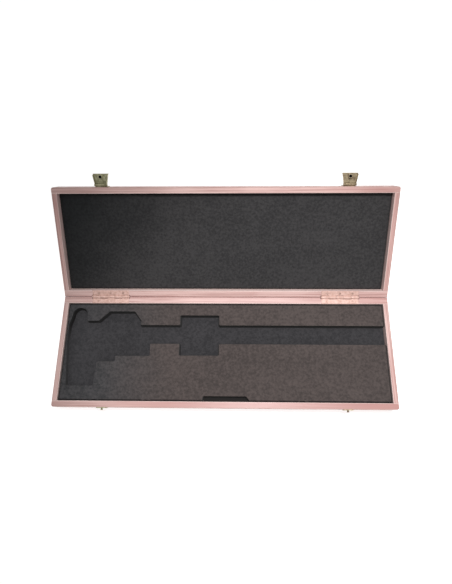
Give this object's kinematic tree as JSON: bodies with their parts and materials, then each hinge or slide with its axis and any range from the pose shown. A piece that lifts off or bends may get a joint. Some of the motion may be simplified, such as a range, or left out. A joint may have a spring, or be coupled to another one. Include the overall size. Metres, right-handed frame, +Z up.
{
  "type": "caliper case",
  "caption": "Long shallow wooden instrument case with a hinged lid, snap hasps, a foam-lined lid and a die-cut foam pocket for a long caliper.",
  "frame": {"origin": "centre of the base's underside, on the surface that the case stands on", "axes": "+X to the right along the case, +Y back towards the hinges, +Z up"},
  "size_m": [0.44, 0.2865, 0.1182],
  "materials": {
    "wood": "thin clear varnish",
    "foam": "fine closed-cell foam",
    "hinge_brass": "dull brass plate",
    "latch_steel": "yellow passivated zinc plate",
    "screw_steel": "yellow passivated zinc plate"
  },
  "bodies": {
    "base": {"base_front_wall": "wood", "base_back_wall": "wood", "base_left_wall": "wood", "base_right_wall": "wood", "base_bottom_panel": "wood", "base_foam_top": "foam", "base_foam_floor": "foam", "left_hinge_base_leaf": "hinge_brass", "left_hinge_pin": "hinge_brass", "left_hinge_base_screws": "screw_steel", "left_latch_keeper": "latch_steel", "left_latch_stud": "latch_steel", "left_latch_keeper_screws": "screw_steel", "right_hinge_base_leaf": "hinge_brass", "right_hinge_pin": "hinge_brass", "right_hinge_base_screws": "screw_steel", "right_latch_keeper": "latch_steel", "right_latch_stud": "latch_steel", "right_latch_keeper_screws": "screw_steel"},
    "lid": {"lid_front_wall": "wood", "lid_back_wall": "wood", "lid_left_wall": "wood", "lid_right_wall": "wood", "lid_top_panel": "wood", "lid_foam": "foam", "left_hinge_lid_leaf": "hinge_brass", "left_hinge_lid_screws": "screw_steel", "left_latch_plate": "latch_steel", "left_latch_pin": "latch_steel", "left_latch_plate_screws": "screw_steel", "right_hinge_lid_leaf": "hinge_brass", "right_hinge_lid_screws": "screw_steel", "right_latch_plate": "latch_steel", "right_latch_pin": "latch_steel", "right_latch_plate_screws": "screw_steel"},
    "left_hasp": {"left_latch_hasp": "latch_steel", "left_latch_socket": "latch_steel"},
    "right_hasp": {"right_latch_hasp": "latch_steel", "right_latch_socket": "latch_steel"}
  },
  "joints": [
    {"name": "lid_hinge", "type": "hinge", "parent": "base", "child": "lid", "pos_m": [0, 0.0721, 0.0281], "axis": [1, 0, 0], "range_deg": [0, 145]},
    {"name": "left_hasp_hinge", "type": "hinge", "parent": "lid", "child": "left_hasp", "pos_m": [-0.1564, 0.19556, 0.11052], "axis": [1, 0, 0], "range_deg": [0, 90]},
    {"name": "right_hasp_hinge", "type": "hinge", "parent": "lid", "child": "right_hasp", "pos_m": [0.1574, 0.19556, 0.11052], "axis": [1, 0, 0], "range_deg": [0, 90]}
  ]
}
